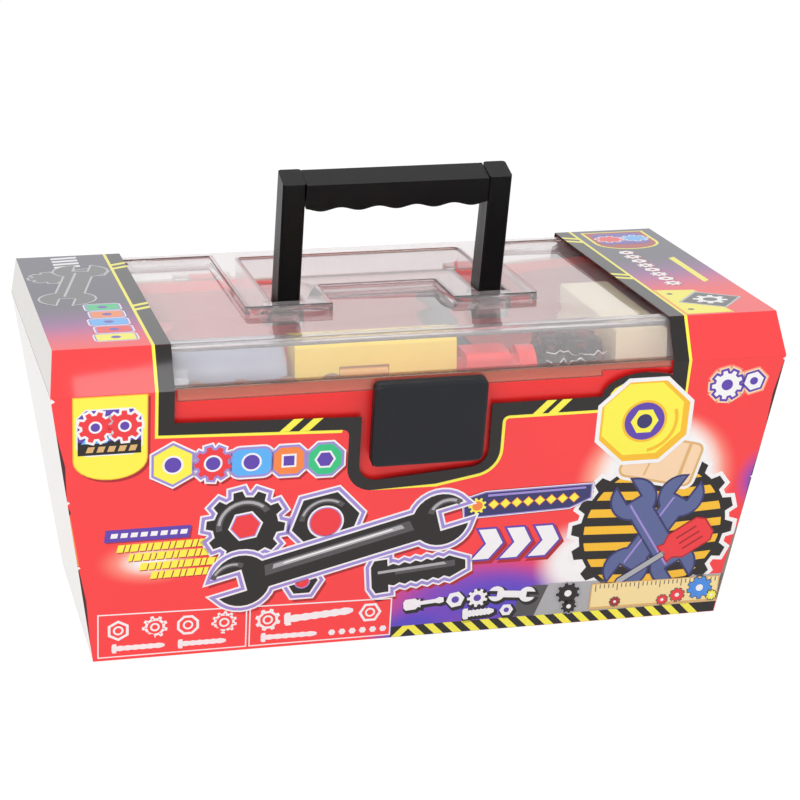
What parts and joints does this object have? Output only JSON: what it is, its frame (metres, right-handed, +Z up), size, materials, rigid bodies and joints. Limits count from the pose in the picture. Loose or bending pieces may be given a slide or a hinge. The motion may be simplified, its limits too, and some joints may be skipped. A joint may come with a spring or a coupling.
{
  "type": "toy tool box",
  "caption": "Tapered plastic carry box with a clear hinged lid, folding carry handle, snap latch, printed card sleeve and a tray of toy tools.",
  "frame": {"origin": "middle of the underside of the box, on the surface it stands on, without the front latch and rear hinges shifting it", "axes": "+X along the box to the right seen from the front, -Y to the front where the latch is, +Z up"},
  "size_m": [0.33, 0.2096, 0.2129],
  "materials": {
    "red_plastic": "glossy moulded plastic",
    "printed_card": "gloss varnished print",
    "clear_plastic": "clear moulded plastic",
    "clear_film": "crinkled clear film",
    "black_plastic": "satin moulded plastic",
    "steel": "drawn wire",
    "yellow_plastic": "moulded plastic",
    "vial_amber": "clear tinted plastic",
    "dark_plastic": "matte moulded plastic",
    "smoke_plastic": "smoky translucent plastic",
    "grey_plastic": "moulded plastic",
    "tan_plastic": "matte moulded plastic",
    "cream_plastic": "matte moulded plastic"
  },
  "bodies": {
    "tub_body": {"tub": "red_plastic", "tray": "red_plastic", "sleeve_lower": "printed_card", "hinge_pin_left": "steel", "hinge_pin_right": "steel", "latch_pin": "steel", "level_body": "yellow_plastic", "level_vial": "vial_amber", "hammer_head": "red_plastic", "hammer_handle": "dark_plastic", "screwdriver_handle": "smoke_plastic", "screwdriver_shaft": "grey_plastic", "toy_bolt_1": "tan_plastic", "toy_bolt_2": "tan_plastic", "toy_bolt_3": "tan_plastic", "toy_bolt_4": "tan_plastic", "plank": "cream_plastic", "parts_bag": "clear_film", "spanner": "red_plastic"},
    "lid_body": {"lid": "clear_plastic", "sleeve_band_left": "printed_card", "sleeve_band_right": "printed_card", "handle_pivot_left": "steel", "handle_pivot_right": "steel"},
    "handle_body": {"handle_leg_left": "black_plastic", "handle_leg_right": "black_plastic", "handle_grip": "black_plastic"},
    "latch_body": {"latch": "black_plastic"}
  },
  "joints": [
    {"name": "lid_hinge", "type": "hinge", "parent": "tub_body", "child": "lid_body", "pos_m": [0, 0.1015, 0.1336], "axis": [-1, 0, 0], "range_deg": [0, 100]},
    {"name": "handle_fold", "type": "hinge", "parent": "lid_body", "child": "handle_body", "pos_m": [0, -0.0107, 0.145], "axis": [-1, 0, 0], "range_deg": [0, 107]},
    {"name": "latch_hinge", "type": "hinge", "parent": "tub_body", "child": "latch_body", "pos_m": [0, -0.09372, 0.095], "axis": [1, 0, 0], "range_deg": [0, 95]}
  ]
}
